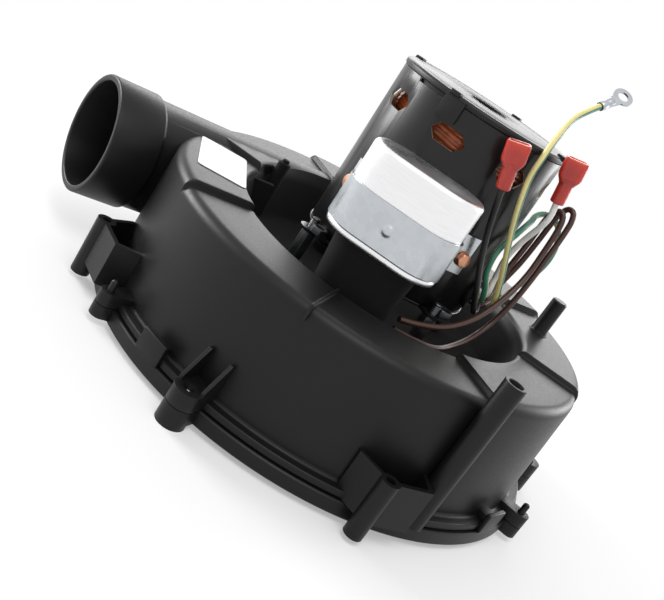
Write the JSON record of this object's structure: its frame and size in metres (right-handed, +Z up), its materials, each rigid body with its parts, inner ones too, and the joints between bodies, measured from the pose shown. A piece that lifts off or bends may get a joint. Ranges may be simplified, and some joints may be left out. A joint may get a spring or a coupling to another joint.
{
  "type": "combustion fan",
  "caption": "Furnace combustion fan: stepped black scroll with side outlet pipe, inlet below, backward-curved wheel, upright motor in a well, strapped run capacitor and loose leads.",
  "frame": {"origin": "middle of the rigid pieces' outline in plan, on the floor that the three screw ears stand on", "axes": "+Z up along the motor shaft, from the inlet to the motor; -X the way the outlet pipe points"},
  "size_m": [0.2508, 0.2512, 0.1929],
  "materials": {
    "moulded_black": "moulded, satin",
    "wheel_plastic": "moulded",
    "black_paint": "satin black paint",
    "zinc_steel": "zinc plated",
    "dark_steel": "plain",
    "aluminium": "drawn, dull",
    "bronze": "sintered bronze",
    "copper": "copper",
    "black_rubber": "matt",
    "gasket_foam": "closed-cell foam",
    "label_film": "blank film",
    "white_insulation": "wire insulation",
    "brown_insulation": "wire insulation",
    "black_insulation": "wire insulation",
    "green_yellow_insulation": "green and yellow wire insulation",
    "red_nylon": "red nylon"
  },
  "bodies": {
    "housing": {"blank_label": "label_film", "capacitor_boot": "black_rubber", "capacitor_can": "aluminium", "capacitor_lid": "dark_steel", "capacitor_strap": "zinc_steel", "cover_screw_1": "zinc_steel", "cover_screw_2": "zinc_steel", "cover_screw_3": "zinc_steel", "ground_ring_terminal": "zinc_steel", "inlet_gasket": "gasket_foam", "lead_black": "black_insulation", "lead_brown_inner": "brown_insulation", "lead_brown_outer": "brown_insulation", "lead_bushing": "black_rubber", "lead_ground": "green_yellow_insulation", "lead_white": "white_insulation", "lower_bearing": "bronze", "lower_cover": "moulded_black", "motor_base_cap": "black_paint", "motor_can": "black_paint", "motor_end_cap": "black_paint", "motor_grommet_1": "black_rubber", "motor_grommet_2": "black_rubber", "motor_grommet_3": "black_rubber", "motor_grommet_4": "black_rubber", "motor_nut_1": "zinc_steel", "motor_nut_2": "zinc_steel", "motor_nut_3": "zinc_steel", "motor_nut_4": "zinc_steel", "motor_standoff_1": "zinc_steel", "motor_standoff_2": "zinc_steel", "motor_standoff_3": "zinc_steel", "motor_standoff_4": "zinc_steel", "red_terminal_black_lead": "red_nylon", "red_terminal_white_lead": "red_nylon", "stator_core": "dark_steel", "strap_screw_1": "copper", "strap_screw_2": "copper", "upper_bearing": "bronze", "upper_housing": "moulded_black", "winding_lower": "copper", "winding_upper": "copper"},
    "rotor": {"motor_shaft": "zinc_steel", "rotor_core": "dark_steel", "rotor_end_ring_upper": "aluminium", "rotor_end_ring_lower": "aluminium", "impeller_wheel": "wheel_plastic", "impeller_shroud": "wheel_plastic", "impeller_hub": "bronze", "hub_set_screw": "dark_steel", "shaft_clip": "zinc_steel"}
  },
  "joints": [
    {"name": "rotor_spin", "type": "hinge", "parent": "housing", "child": "rotor", "pos_m": [0.00021, -0.00302, 0.1], "axis": [0, 0, 1], "continuous": true}
  ]
}
